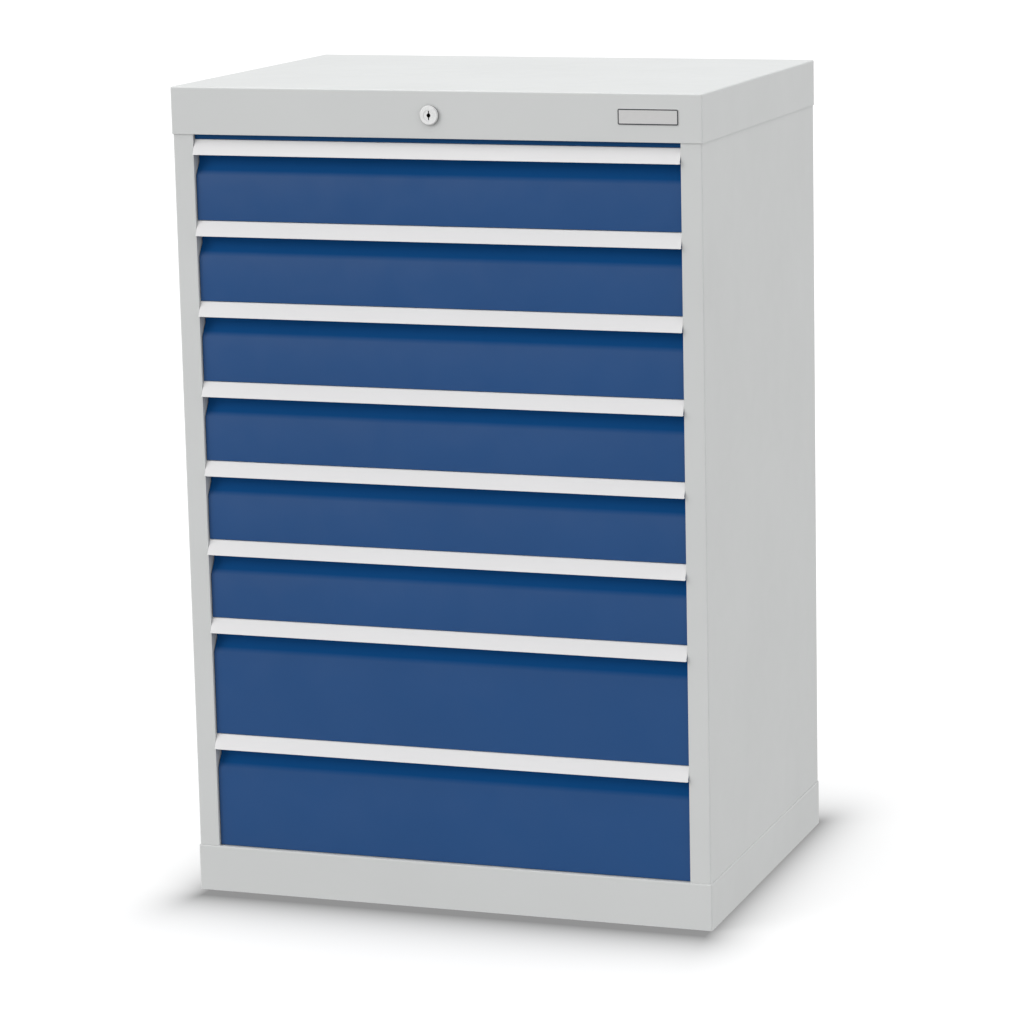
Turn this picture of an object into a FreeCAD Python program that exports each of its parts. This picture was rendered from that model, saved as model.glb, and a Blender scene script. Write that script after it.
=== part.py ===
"""Steel drawer cabinet with eight full-extension drawers and one central lock.

Millimetres, +Z up, +X to the right as seen from the front, +Y towards the back.
The origin is the middle of the cabinet's outer box on the floor.  Profiles are
drawn from the cabinet's front plane, where the skirts of the cover and base lie.
"""
import FreeCAD, Part
import os
import re
import Sketcher
from FreeCAD import Vector

# ---------------------------------------------------------------------------
# Driving sizes: name, millimetres (or a plain number), what it is
# ---------------------------------------------------------------------------
SIZES = [
    ("cabinet_width", 680, "over the side skirts of the cover and base"),
    ("cabinet_depth", 492, "over the front and back skirts, without the handles"),
    ("base_height", 59, "floor to the top of the base tray"),
    ("cover_height", 58, "skirt of the top cover"),
    ("post_width", 27.6, "front post, from the side skirt to the opening"),
    ("body_sheet", 1.25, "sheet of the cover, base, sides and back"),
    ("bend_radius", 2, "outer radius of the folded corners"),
    ("post_return", 20, "depth of the post's return, from the front plane"),
    ("back_flange", 25, "flange of a side panel behind the back panel"),
    ("header_flange", 14, "stiffening flange under the header"),
    ("base_flange", 20, "flange that the base stands on"),
    ("sheet_gap", 0.25, "room between sheets that are not folded together"),
    ("pitch_1", 100, "front height with its gap, top drawer"),
    ("pitch_2", 100, "front height with its gap"),
    ("pitch_3", 100, "front height with its gap"),
    ("pitch_4", 100, "front height with its gap"),
    ("pitch_5", 100, "front height with its gap"),
    ("pitch_6", 100, "front height with its gap"),
    ("pitch_7", 150, "front height with its gap"),
    ("pitch_8", 150, "front height with its gap, bottom drawer"),
    ("sill_gap", 2, "base tray to the bottom drawer's slot"),
    ("front_gap", 0.6, "gap over the first front, over each handle and under the last front"),
    ("side_gap", 1, "gap beside each front"),
    ("handle_gap", 0.3, "handle's end to the post"),
    ("front_setback", 5, "front plane to the face of a drawer front"),
    ("front_sheet", 1, "sheet of a drawer front"),
    ("recess_back", 15.5, "front plane to the back of the finger recess"),
    ("recess_end", 35, "slot top to the end of the recess's upright wall"),
    ("recess_toe", 51, "slot top to where the recess meets the face"),
    ("front_fold", 12, "folds along the top and bottom of a drawer front"),
    ("handle_drop", 6.4, "slot top to the handle"),
    ("handle_top", 6, "front plane to the handle's upper edge"),
    ("handle_proud", 3.7, "handle's lower edge in front of the front plane"),
    ("handle_height", 18.5, "height of the handle's sloping face"),
    ("handle_wall", 1.6, "wall of the handle profile"),
    ("handle_leg", 11, "leg of the handle against the recess wall"),
    ("handle_lip", 4.5, "inward lip along the handle's lower edge"),
    ("box_side_room", 12, "drawer box to the opening's side"),
    ("rear_room", 63.5, "behind the drawer boxes, for the locking bar"),
    ("box_sheet", 1, "sheet of a drawer box"),
    ("box_rise", 7, "slot bottom to the underside of the box"),
    ("box_headroom", 17, "top of the box walls to the slot top"),
    ("box_overlap", 12, "depth of a drawer box less its travel"),
    ("rail_space", 17, "drawer box side to the uprights"),
    ("rail_inset", 4, "post return to the front end of the rails"),
    ("rail_tail", 27, "cabinet rail beyond the middle rail"),
    ("rail_rise", 20, "underside of the box to the rails' centre line"),
    ("rail_height", 24, "over the flanges of a rail"),
    ("rail_sheet", 1.5, "sheet of the rails and uprights"),
    ("rail_reach", 7.7, "web face to the tip of a rail's flanges"),
    ("middle_inset", 4, "front end of the middle rail behind the others"),
    ("middle_height", 20, "middle rail"),
    ("middle_sheet", 1.2, "middle rail"),
    ("roller_play", 0.3, "roller to a rail's flange"),
    ("roller_side_play", 0.6, "roller to the sheets on either side"),
    ("roller_margin", 18, "roller centre to the end of its rail"),
    ("roller_spacing", 160, "between the two rollers of a pair"),
    ("axle_radius", 3, "axle studs of the middle rail"),
    ("running_gap", 0.05, "radial clearance of turning pieces"),
    ("upright_width", 40, "slotted upright"),
    ("upright_inset", 2, "front end of the rails to the front uprights"),
    ("upright_back", 60, "rear uprights, from their back face to the back panel"),
    ("upright_slot_pitch", 25, "spacing of the upright's slots"),
    ("upright_slot_width", 4, "slot in an upright"),
    ("upright_slot_height", 12, "slot in an upright"),
    ("screw_radius", 2, "thread of the panel screws"),
    ("screw_length", 8, "panel screw under its head"),
    ("screw_head_radius", 4, "panel screw"),
    ("screw_head_height", 1, "panel screw"),
    ("screw_count", 5, "panel screws along each side"),
    ("screw_hole_gap", 0.2, "radial clearance of the screw holes"),
    ("screw_margin", 35, "first and last screw to the base and to the cover"),
    ("lock_offset", -1.5, "lock from the cabinet's middle"),
    ("lock_drop", 30, "top of the cabinet to the lock's axis"),
    ("rosette_radius", 12, "round face of the lock"),
    ("rosette_proud", 3.5, "rosette in front of the header"),
    ("rosette_chamfer", 1.2, "edge of the rosette"),
    ("barrel_radius", 9.5, "threaded body of the lock"),
    ("barrel_length", 24, "threaded body of the lock"),
    ("plug_radius", 6.5, "turning plug of the lock"),
    ("plug_inset", 0.4, "plug's face behind the rosette's"),
    ("plug_tail", 2, "plug behind the barrel"),
    ("key_slot_width", 1.3, "keyway"),
    ("key_slot_height", 11, "keyway"),
    ("key_slot_depth", 12, "keyway"),
    ("key_hole_radius", 2.5, "round middle of the keyway"),
    ("nut_width", 26, "lock nut across its flats"),
    ("nut_thickness", 4, "lock nut"),
    ("shaft_radius", 4, "rod from the lock to the locking bar"),
    ("crank_radius", 8.5, "crank pin from the rod's axis"),
    ("crank_thickness", 3, "crank at the end of the rod"),
    ("crank_pin_radius", 3, "pin in the bar's slot"),
    ("crank_gap", 3, "crank to the locking bar"),
    ("pin_play", 0.6, "crank pin in the bar's slot"),
    ("bar_width", 24, "locking bar"),
    ("bar_thickness", 2, "locking bar"),
    ("bar_clearance", 9.5, "locking bar to the back panel"),
    ("bar_foot", 24, "base to the bar's lower end, unlocked"),
    ("guide_gap", 0.4, "locking bar in its guides"),
    ("guide_height", 12, "bar guide"),
    ("guide_drop", 9, "slot top to the middle of a bar guide"),
    ("guide_wall", 2, "bar guide and rod bearing"),
    ("bearing_size", 20, "height of the rod bearing"),
    ("bearing_gap", 6, "locking bar to the strap of the rod bearing"),
    ("tooth_width", 16, "locking tooth and drawer catch"),
    ("tooth_reach", 10, "tooth in front of the bar"),
    ("catch_rise", 30, "underside of the box to the catch"),
    ("catch_gap", 2, "tooth to the catch, each way"),
    ("catch_lip", 14, "height of the catch"),
    ("plate_width", 75, "bare name plate"),
    ("plate_height", 19, "bare name plate"),
    ("plate_thickness", 0.8, "bare name plate"),
    ("plate_corner", 2, "corner radius of the name plate"),
    ("plate_margin", 29.3, "name plate to the cabinet's right side"),
    ("plate_drop", 28, "top of the cabinet to the plate's middle"),
]
DRAWERS = range(1, 9)

NEAR = 0.01            # mm: edges closer than this to a place are taken to be there
LEAST_CUT = 1          # mm3: a pocket that removes less than this cuts nothing
NUT_SIDES = 6

doc = FreeCAD.newDocument("drawer_cabinet")
sheet = doc.addObject("Spreadsheet::Sheet", "sizes")
for row, (alias, number, note) in enumerate(SIZES, start=1):
    sheet.set(f"A{row}", alias)
    sheet.set(f"B{row}", str(number))
    sheet.setAlias(f"B{row}", alias)
    sheet.set(f"C{row}", note)
doc.recompute()

ALIASES = {alias for alias, number, note in SIZES}
finished = {}      # node name: the object whose shape is written


# ---------------------------------------------------------------------------
# Binding sizes to the sheet
# ---------------------------------------------------------------------------
def bound(text):
    """Write an expression in plain size names as one that reads the sheet."""
    return re.sub(r"[a-z]\w*", lambda word: "sizes." + word.group()
                  if word.group() in ALIASES else word.group(), str(text))


def value(text):
    return float(sheet.evalExpression(bound(text)))


def minus(text):
    return f"-({text})"


def plus(*terms):
    return " + ".join(f"({term})" for term in terms)


def place(item, x="0", y="0", z="0"):
    for axis, amount in (("x", x), ("y", y), ("z", z)):
        item.setExpression(f"Placement.Base.{axis}", bound(amount))


def finish(node, item):
    item.Label = node
    finished[node] = item
    return item


# Places that several pieces share
FRONT = "(handle_proud - cabinet_depth) / 2"                   # front plane
TOTAL_PITCH = "(" + " + ".join(f"pitch_{n}" for n in DRAWERS) + ")"
OPENING_TOP = f"(base_height + sill_gap + {TOTAL_PITCH})"
TOP = f"({OPENING_TOP} + cover_height)"
HALF_OPENING = "(cabinet_width / 2 - post_width)"
SIDE = "(cabinet_width / 2 - body_sheet)"                      # side panel's face
BACK = "(cabinet_depth - body_sheet)"                          # back panel's face
BOX_FRONT = "(recess_back + front_sheet)"
BOX_BACK = "(cabinet_depth - rear_room)"
TRAVEL = f"({BOX_BACK} - {BOX_FRONT} - box_overlap)"           # full extension
RAIL_FRONT = "(post_return + rail_inset)"
RAIL_INNER = f"({HALF_OPENING} - box_side_room)"               # box side, drawer rail
RAIL_OUTER = f"({RAIL_INNER} + rail_space)"                    # cabinet rail's web
PLATE_MIDDLE = f"({RAIL_INNER} + rail_space / 2)"              # middle rail's plate
MIDDLE_FRONT = f"({RAIL_FRONT} + middle_inset)"
MIDDLE_BACK = f"({MIDDLE_FRONT} + {TRAVEL})"
LOCK_HEIGHT = f"({TOP} - lock_drop)"
BAR_FRONT = f"({BACK} - body_sheet - bar_clearance - bar_thickness)"
# The crank swings from 45 degrees up to 45 degrees down, on the bar's side.
CRANK_SIDE = "(crank_radius * cos(45deg))"
CRANK_RISE = "(crank_radius * sin(45deg))"
BAR_TRAVEL = f"(2 * {CRANK_RISE})"
BAR_MIDDLE = f"(lock_offset + (crank_radius + {CRANK_SIDE}) / 2)"
OVERSHOOT = "1"                                # how far a cutter runs past its hole
RIGHT_AND_LEFT = (1, -1)


def slot_bottom(drawer):
    below = [f"pitch_{n}" for n in DRAWERS if n > drawer]
    return "(" + " + ".join(["base_height", "sill_gap"] + below) + ")"


def slot_top(drawer):
    return f"({slot_bottom(drawer)} + pitch_{drawer})"


def box_bottom(drawer):
    return f"({slot_bottom(drawer)} + box_rise)"


def rail_height_at(drawer):
    return f"({box_bottom(drawer)} + rail_rise)"


# ---------------------------------------------------------------------------
# Sketches and simple solids
# ---------------------------------------------------------------------------
def new_sketch(body, name, plane):
    origin_plane = [item for item in body.Origin.OriginFeatures if item.Role == plane][0]
    sketch = body.newObject("Sketcher::SketchObject", name)
    sketch.AttachmentSupport = [(origin_plane, "")]
    sketch.MapMode = "FlatFace"
    return sketch


def pin_down(sketch, geometry, point, x, y):
    """Tie one point of a sketch to its two coordinates."""
    for kind, amount in (("DistanceX", x), ("DistanceY", y)):
        index = sketch.addConstraint(
            Sketcher.Constraint(kind, -1, 1, geometry, point, value(amount)))
        sketch.setExpression(f"Constraints[{index}]", bound(amount))


def draw_outline(sketch, corners):
    """Draw a closed outline of straight sides through pairs of expressions."""
    points = [Vector(value(x), value(y), 0) for x, y in corners]
    first = sketch.GeometryCount
    for start, end in zip(points, points[1:] + points[:1]):
        sketch.addGeometry(Part.LineSegment(start, end))
    count = len(points)
    for side in range(count):
        following = first + (side + 1) % count
        sketch.addConstraint(Sketcher.Constraint("Coincident", first + side, 2, following, 1))
    for side, (x, y) in enumerate(corners):
        pin_down(sketch, first + side, 1, x, y)


def draw_circle(sketch, x, y, radius):
    circle = Part.Circle(Vector(value(x), value(y), 0), Vector(0, 0, 1), value(radius))
    geometry = sketch.addGeometry(circle)
    pin_down(sketch, geometry, 3, x, y)
    index = sketch.addConstraint(Sketcher.Constraint("Radius", geometry, value(radius)))
    sketch.setExpression(f"Constraints[{index}]", bound(radius))


def rectangle(low, high):
    (x0, y0), (x1, y1) = low, high
    return [(x0, y0), (x1, y0), (x1, y1), (x0, y1)]


def pad(body, sketch, name, length, midplane=False):
    feature = body.newObject("PartDesign::Pad", name)
    feature.Profile = sketch
    feature.Midplane = midplane
    feature.setExpression("Length", bound(length))
    return feature


def pocket(body, sketch, name, depth, upwards=False):
    """Cut a sketch into the body and make sure that something was removed."""
    doc.recompute()
    before = body.Shape.Volume
    feature = body.newObject("PartDesign::Pocket", name)
    feature.Profile = sketch
    feature.Reversed = upwards
    feature.setExpression("Length", bound(depth))
    doc.recompute()
    if body.Shape.Volume > before - LEAST_CUT:
        raise RuntimeError(name + " cuts nothing")
    return feature


def prism(name, plane, corners, length, midplane=False, x="0", y="0", z="0"):
    """Pad one closed outline: along X from YZ_Plane, up Z from XY_Plane."""
    body = doc.addObject("PartDesign::Body", name)
    sketch = new_sketch(body, name + "_section", plane)
    draw_outline(sketch, corners)
    pad(body, sketch, name + "_pad", length, midplane)
    place(body, x, plus(FRONT, y), z)
    return body


def block(name, x, y, z):
    """A box between pairs of expressions; y is measured from the front plane."""
    solid = doc.addObject("Part::Box", name)
    for size, (low, high) in (("Length", x), ("Width", y), ("Height", z)):
        solid.setExpression(size, bound(f"({high}) - ({low})"))
    place(solid, x[0], plus(FRONT, y[0]), z[0])
    return solid


def rod(name, axis, radius, low, high, x="0", y="0", z="0"):
    """A cylinder along an axis, between low and high on that axis."""
    solid = doc.addObject("Part::Cylinder", name)
    solid.setExpression("Radius", bound(radius))
    solid.setExpression("Height", bound(f"({high}) - ({low})"))
    turns = {"x": (Vector(0, 1, 0), 90), "y": (Vector(1, 0, 0), -90), "z": (Vector(0, 0, 1), 0)}
    solid.Placement.Rotation = FreeCAD.Rotation(*turns[axis])
    at = {"x": x, "y": y, "z": z}
    at[axis] = plus(at[axis], low)
    place(solid, at["x"], plus(FRONT, at["y"]), at["z"])
    return solid


def cut(name, base, tool):
    result = doc.addObject("Part::Cut", name)
    result.Base, result.Tool = base, tool
    return result


def fuse(name, *pieces):
    result = doc.addObject("Part::MultiFuse", name)
    result.Shapes = list(pieces)
    result.Refine = True
    return result


def mirror(name, piece):
    result = doc.addObject("Part::Mirroring", name)
    result.Source = piece
    result.Normal = Vector(1, 0, 0)
    return result


def group(name, pieces):
    result = doc.addObject("Part::Compound", name)
    result.Links = list(pieces)
    return result


def mirrored_pair(node, piece):
    """A right-hand piece and its left-hand twin as two solids of one node."""
    return finish(node, group(node, [piece, mirror(node + "_left", piece)]))


def edges_where(shape, wanted):
    return [f"Edge{n}" for n, edge in enumerate(shape.Edges, start=1) if wanted(edge)]


def round_edges(body, feature, name, radius, wanted):
    doc.recompute()
    fillet = body.newObject("PartDesign::Fillet", name)
    fillet.Base = (feature, edges_where(feature.Shape, wanted))
    fillet.setExpression("Radius", bound(radius))
    return fillet


def is_upright(edge):
    ends = edge.BoundBox
    return ends.XLength < NEAR and ends.YLength < NEAR


def open_tray(name, height):
    """A tray upside down: a flat top with a skirt on all four sides."""
    body = doc.addObject("PartDesign::Body", name)
    outer = new_sketch(body, name + "_outer", "XY_Plane")
    half = "cabinet_width / 2"
    draw_outline(outer, rectangle((minus(half), "0"), (half, "cabinet_depth")))
    shell = pad(body, outer, name + "_block", height)
    doc.recompute()
    level = shell.Shape.BoundBox.ZMax

    def folded(edge):
        return is_upright(edge) or edge.BoundBox.ZMin > level - NEAR

    round_edges(body, shell, name + "_folds", "bend_radius", folded)
    inner = new_sketch(body, name + "_inner", "XY_Plane")
    draw_outline(inner, rectangle((minus(SIDE), "body_sheet"), (SIDE, BACK)))
    pocket(body, inner, name + "_hollow", f"{height} - body_sheet", upwards=True)
    return body


# ---------------------------------------------------------------------------
# Carcass
# ---------------------------------------------------------------------------
def make_base():
    """Base tray: the cabinet's floor, its skirts and the flange it stands on."""
    body = open_tray("base", "base_height")
    foot = new_sketch(body, "base_foot", "XY_Plane")
    draw_outline(foot, rectangle((minus(SIDE), "body_sheet"), (SIDE, BACK)))
    inner = f"({SIDE} - base_flange)"
    draw_outline(foot, rectangle((minus(inner), "body_sheet + base_flange"),
                                 (inner, f"{BACK} - base_flange")))
    pad(body, foot, "base_foot_pad", "body_sheet")
    place(body, "0", FRONT, "0")
    return finish("base_plinth", body)


def make_cover():
    """Top cover: a lid with skirts; its front skirt is the header with the lock."""
    body = open_tray("cover", "cover_height")
    lock_hole = new_sketch(body, "cover_lock_hole", "XZ_Plane")
    draw_circle(lock_hole, "lock_offset", "cover_height - lock_drop",
                "barrel_radius + running_gap")
    # The sketch lies on the front plane and looks forwards, so the cut runs back.
    pocket(body, lock_hole, "cover_lock_cut", "body_sheet", upwards=False)
    place(body, "0", FRONT, OPENING_TOP)
    reach = f"({HALF_OPENING} - sheet_gap)"
    flange = block("header_flange_strip", (minus(reach), reach),
                   ("body_sheet", "body_sheet + header_flange"),
                   (OPENING_TOP, plus(OPENING_TOP, "body_sheet")))
    return finish("top_cover", fuse("top_cover_joined", body, flange))


def screw_heights():
    """Heights of the panel screws, spread evenly between the base and the cover."""
    low = "(base_height + screw_margin)"
    span = f"({OPENING_TOP} - base_height - 2 * screw_margin)"
    steps = int(value("screw_count"))
    return [f"{low} + {span} * {step} / (screw_count - 1)" for step in range(steps)]


SCREW_X = "(cabinet_width / 2 - body_sheet - back_flange / 2)"


def screw_holes(name):
    holes = []
    for side in RIGHT_AND_LEFT:
        for number, height in enumerate(screw_heights(), start=1):
            holes.append(rod(f"{name}_{side + 1}_{number}", "y", "screw_radius + screw_hole_gap",
                             f"{BACK} - screw_length", f"{BACK} + {OVERSHOOT}",
                             x=f"{side} * {SCREW_X}", z=height))
    return group(name, holes)


def make_sides():
    """Side panels: one folded sheet each, with the front post and a back flange."""
    post = HALF_OPENING
    face, rear = "body_sheet", f"({BACK} - body_sheet)"
    corners = [
        (post, "post_return"), (post, face), (SIDE, face), (SIDE, rear),
        (f"{SIDE} - back_flange", rear), (f"{SIDE} - back_flange", f"{rear} - body_sheet"),
        (f"{SIDE} - body_sheet", f"{rear} - body_sheet"),
        (f"{SIDE} - body_sheet", f"{face} + body_sheet"),
        (f"{post} + body_sheet", f"{face} + body_sheet"), (f"{post} + body_sheet", "post_return"),
    ]
    body = prism("side_right", "XY_Plane", corners,
                 f"{TOP} - body_sheet - base_height", z="base_height")
    outer_x, outer_y = value(SIDE), value(face)

    def front_corner(edge):
        spot = edge.BoundBox
        return (is_upright(edge) and abs(spot.XMin - outer_x) < NEAR
                and abs(spot.YMin - outer_y) < NEAR)

    round_edges(body, body.Tip, "side_fold", "bend_radius", front_corner)
    panel = cut("side_drilled", body, screw_holes("side_screw_holes"))
    return mirrored_pair("side_panels", panel)


GUIDED_DRAWERS = (2, 5, 8)      # the bar has a guide behind each of these


def make_back():
    """Back panel with the guides of the locking bar and the rod's bearing."""
    edge = f"({SIDE} - sheet_gap)"
    panel = block("back_sheet", (minus(edge), edge), (f"{BACK} - body_sheet", BACK),
                  ("base_height", f"{TOP} - body_sheet - sheet_gap"))
    pieces = [cut("back_drilled", panel, screw_holes("back_screw_holes"))]
    half_slot = "(bar_width / 2 + guide_gap)"
    slot_front = f"({BAR_FRONT} - guide_gap)"
    slot_back = f"({BAR_FRONT} + bar_thickness + guide_gap)"
    wall = f"({BACK} - body_sheet)"
    for number, drawer in enumerate(GUIDED_DRAWERS, start=1):
        middle = f"({slot_top(drawer)} - guide_drop)"
        levels = (f"{middle} - guide_height / 2", f"{middle} + guide_height / 2")
        loop = block(f"guide_{number}_block",
                     (f"{BAR_MIDDLE} - {half_slot} - guide_wall",
                      f"{BAR_MIDDLE} + {half_slot} + guide_wall"),
                     (f"{slot_front} - guide_wall", wall), levels)
        slot = block(f"guide_{number}_slot",
                     (f"{BAR_MIDDLE} - {half_slot}", f"{BAR_MIDDLE} + {half_slot}"),
                     (slot_front, slot_back),
                     (f"{levels[0]} - {OVERSHOOT}", f"{levels[1]} + {OVERSHOOT}"))
        pieces.append(cut(f"guide_{number}", loop, slot))
    bearing_face = f"({BAR_FRONT} - crank_gap - crank_thickness - running_gap)"
    bearing_left = f"({BAR_MIDDLE} - bar_width / 2 - bearing_gap)"
    bearing_levels = (f"{LOCK_HEIGHT} - bearing_size / 2", f"{LOCK_HEIGHT} + bearing_size / 2")
    strap = block("bearing_strap", (f"{bearing_left} - guide_wall", bearing_left),
                  (f"{bearing_face} - guide_wall", wall), bearing_levels)
    plate = block("bearing_plate", (bearing_left, "lock_offset + bearing_size / 2"),
                  (f"{bearing_face} - guide_wall", bearing_face), bearing_levels)
    hole = rod("bearing_hole", "y", "shaft_radius + running_gap",
               f"{bearing_face} - guide_wall - {OVERSHOOT}", f"{bearing_face} + {OVERSHOOT}",
               x="lock_offset", z=LOCK_HEIGHT)
    pieces += [strap, cut("bearing", plate, hole)]
    return finish("back_panel", fuse("back_joined", *pieces))


def make_uprights():
    """Slotted channels inside the side panels; the rails hook into their slots."""
    outer = f"({SIDE} - body_sheet)"
    height = f"{OPENING_TOP} - base_height"
    pieces = []
    for name, front in (("front", f"{RAIL_FRONT} + upright_inset"),
                        ("rear", f"{BACK} - body_sheet - upright_back - upright_width")):
        near, far = f"({front})", f"({front} + upright_width)"
        inner = f"({RAIL_OUTER} + rail_sheet)"
        corners = [
            (outer, near), (RAIL_OUTER, near), (RAIL_OUTER, far), (outer, far),
            (outer, f"{far} - rail_sheet"), (inner, f"{far} - rail_sheet"),
            (inner, f"{near} + rail_sheet"), (outer, f"{near} + rail_sheet"),
        ]
        body = prism(f"upright_{name}", "XY_Plane", corners, height, z="base_height")
        slots = new_sketch(body, f"upright_{name}_slot", "YZ_Plane")
        middle = f"({front} + upright_width / 2)"
        draw_outline(slots, rectangle(
            (f"{middle} - upright_slot_width / 2", "upright_slot_pitch"),
            (f"{middle} + upright_slot_width / 2", "upright_slot_pitch + upright_slot_height")))
        first = pocket(body, slots, f"upright_{name}_cut", inner, upwards=True)
        row = body.newObject("PartDesign::LinearPattern", f"upright_{name}_slots")
        row.Originals = [first]
        row.Direction = ([item for item in body.Origin.OriginFeatures
                          if item.Role == "Z_Axis"][0], [""])
        row.Mode = "Spacing"
        row.setExpression("Offset", bound("upright_slot_pitch"))
        row.setExpression("Occurrences", bound(
            f"floor(({height} - upright_slot_height) / upright_slot_pitch) - 1"))
        body.Tip = row
        pieces += [body, mirror(f"upright_{name}_left", body)]
    return finish("slotted_uprights", group("uprights", pieces))


def channel(name, web, tip, drawer, length):
    """A C-shaped rail: an upright web with a flange along each edge."""
    half = "(rail_height / 2)"
    # The sheet stands on the tip's side of the web face.
    inwards = "-1" if value(tip) < value(web) else "1"
    inner = f"({web} + {inwards} * rail_sheet)"
    corners = [
        (web, minus(half)), (web, half), (tip, half), (tip, f"{half} - rail_sheet"),
        (inner, f"{half} - rail_sheet"), (inner, f"rail_sheet - {half}"),
        (tip, f"rail_sheet - {half}"), (tip, minus(half)),
    ]
    return prism(name, "XZ_Plane", corners, length,
                 y=plus(RAIL_FRONT, length), z=rail_height_at(drawer))


def make_cabinet_rails():
    pieces = []
    for drawer in DRAWERS:
        rail = channel(f"cabinet_rail_{drawer}", RAIL_OUTER, f"({RAIL_OUTER} - rail_reach)",
                       drawer, f"({MIDDLE_BACK} + rail_tail - {RAIL_FRONT})")
        pieces += [rail, mirror(f"cabinet_rail_{drawer}_left", rail)]
    return finish("cabinet_rails", group("cabinet_rail_set", pieces))


def make_screws():
    """Panel screws of the back, and the nut behind the lock."""
    pieces = []
    for side in RIGHT_AND_LEFT:
        for number, height in enumerate(screw_heights(), start=1):
            tag = f"screw_{side + 1}_{number}"
            at = f"{side} * {SCREW_X}"
            head = rod(tag + "_head", "y", "screw_head_radius", BACK,
                       f"{BACK} + screw_head_height", x=at, z=height)
            shank = rod(tag + "_shank", "y", "screw_radius", f"{BACK} - screw_length",
                        BACK, x=at, z=height)
            pieces.append(fuse(tag, head, shank))
    hexagon = doc.addObject("Part::Prism", "lock_nut_blank")
    hexagon.Polygon = NUT_SIDES
    hexagon.setExpression("Circumradius", bound("nut_width / sqrt(3)"))
    hexagon.setExpression("Height", bound("nut_thickness"))
    hexagon.Placement.Rotation = FreeCAD.Rotation(Vector(1, 0, 0), -90)
    place(hexagon, "lock_offset", plus(FRONT, "body_sheet"), LOCK_HEIGHT)
    hole = rod("lock_nut_hole", "y", "barrel_radius + running_gap", f"body_sheet - {OVERSHOOT}",
               f"body_sheet + nut_thickness + {OVERSHOOT}", x="lock_offset", z=LOCK_HEIGHT)
    pieces.append(cut("lock_nut", hexagon, hole))
    return finish("fasteners", group("fastener_set", pieces))


def make_name_plate():
    """Bare plate on the header."""
    centre = "(cabinet_width / 2 - plate_margin - plate_width / 2)"
    low = (f"{centre} - plate_width / 2", f"{TOP} - plate_drop - plate_height / 2")
    high = (f"{centre} + plate_width / 2", f"{TOP} - plate_drop + plate_height / 2")
    body = prism("plate", "XZ_Plane", rectangle(low, high), "plate_thickness")

    def across(edge):
        spot = edge.BoundBox
        return spot.XLength < NEAR and spot.ZLength < NEAR

    round_edges(body, body.Tip, "plate_corners", "plate_corner", across)
    return finish("name_plate", body)


# ---------------------------------------------------------------------------
# Central lock
# ---------------------------------------------------------------------------
def make_lock():
    """Rosette and barrel in one, turned; the plug with its keyway runs in it."""
    body = doc.addObject("PartDesign::Body", "lock_body")
    half_section = new_sketch(body, "lock_body_section", "YZ_Plane")
    bore = "(plug_radius + running_gap)"
    draw_outline(half_section, [
        ("-rosette_proud", bore), ("-rosette_proud", "rosette_radius - rosette_chamfer"),
        ("rosette_chamfer - rosette_proud", "rosette_radius"), ("0", "rosette_radius"),
        ("0", "barrel_radius"), ("barrel_length", "barrel_radius"), ("barrel_length", bore),
    ])
    turned = body.newObject("PartDesign::Revolution", "lock_body_turned")
    turned.Profile = half_section
    turned.ReferenceAxis = (half_section, ["H_Axis"])
    turned.Angle = 360
    place(body, "lock_offset", FRONT, LOCK_HEIGHT)
    finish("lock_housing", body)

    plug = rod("plug_blank", "y", "plug_radius", "plug_inset - rosette_proud",
               "barrel_length + plug_tail", x="lock_offset", z=LOCK_HEIGHT)
    keyway = block("plug_keyway",
                   ("lock_offset - key_slot_width / 2", "lock_offset + key_slot_width / 2"),
                   ("-rosette_proud", "key_slot_depth - rosette_proud"),
                   (f"{LOCK_HEIGHT} - key_slot_height / 2", f"{LOCK_HEIGHT} + key_slot_height / 2"))
    round_middle = rod("plug_hole", "y", "key_hole_radius", "-rosette_proud",
                       "key_slot_depth - rosette_proud", x="lock_offset", z=LOCK_HEIGHT)
    finish("lock_cylinder", cut("plug", plug, fuse("plug_key_shape", keyway, round_middle)))


def make_lock_shaft():
    """Rod from the plug to the back, with a crank whose pin moves the bar."""
    crank_front = f"({BAR_FRONT} - crank_gap - crank_thickness)"
    crank_back = f"({BAR_FRONT} - crank_gap)"
    shaft = rod("shaft_rod", "y", "shaft_radius", "barrel_length + plug_tail", crank_back,
                x="lock_offset", z=LOCK_HEIGHT)
    arm = block("crank_arm", ("lock_offset", "lock_offset + crank_radius"), (crank_front, crank_back),
                (f"{LOCK_HEIGHT} - crank_pin_radius", f"{LOCK_HEIGHT} + crank_pin_radius"))
    # At rest the crank points 45 degrees up; a quarter turn brings it 45 degrees down.
    arm.Placement.Rotation = FreeCAD.Rotation(Vector(0, 1, 0), -45)
    place(arm, "lock_offset + crank_pin_radius * sin(45deg)", plus(FRONT, crank_front),
          f"{LOCK_HEIGHT} - crank_pin_radius * cos(45deg)")
    pin = rod("crank_pin", "y", "crank_pin_radius", crank_front,
              f"{BAR_FRONT} + bar_thickness + crank_gap",
              x=f"lock_offset + {CRANK_SIDE}", z=f"{LOCK_HEIGHT} + {CRANK_RISE}")
    return finish("lock_shaft", fuse("shaft_joined", shaft, arm, pin))


def catch_height(drawer):
    return f"({box_bottom(drawer)} + catch_rise)"


TOOTH_FRONT = f"({BAR_FRONT} - tooth_reach)"
CATCH_LIP_FRONT = f"({TOOTH_FRONT} + bar_thickness + catch_gap)"


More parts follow.
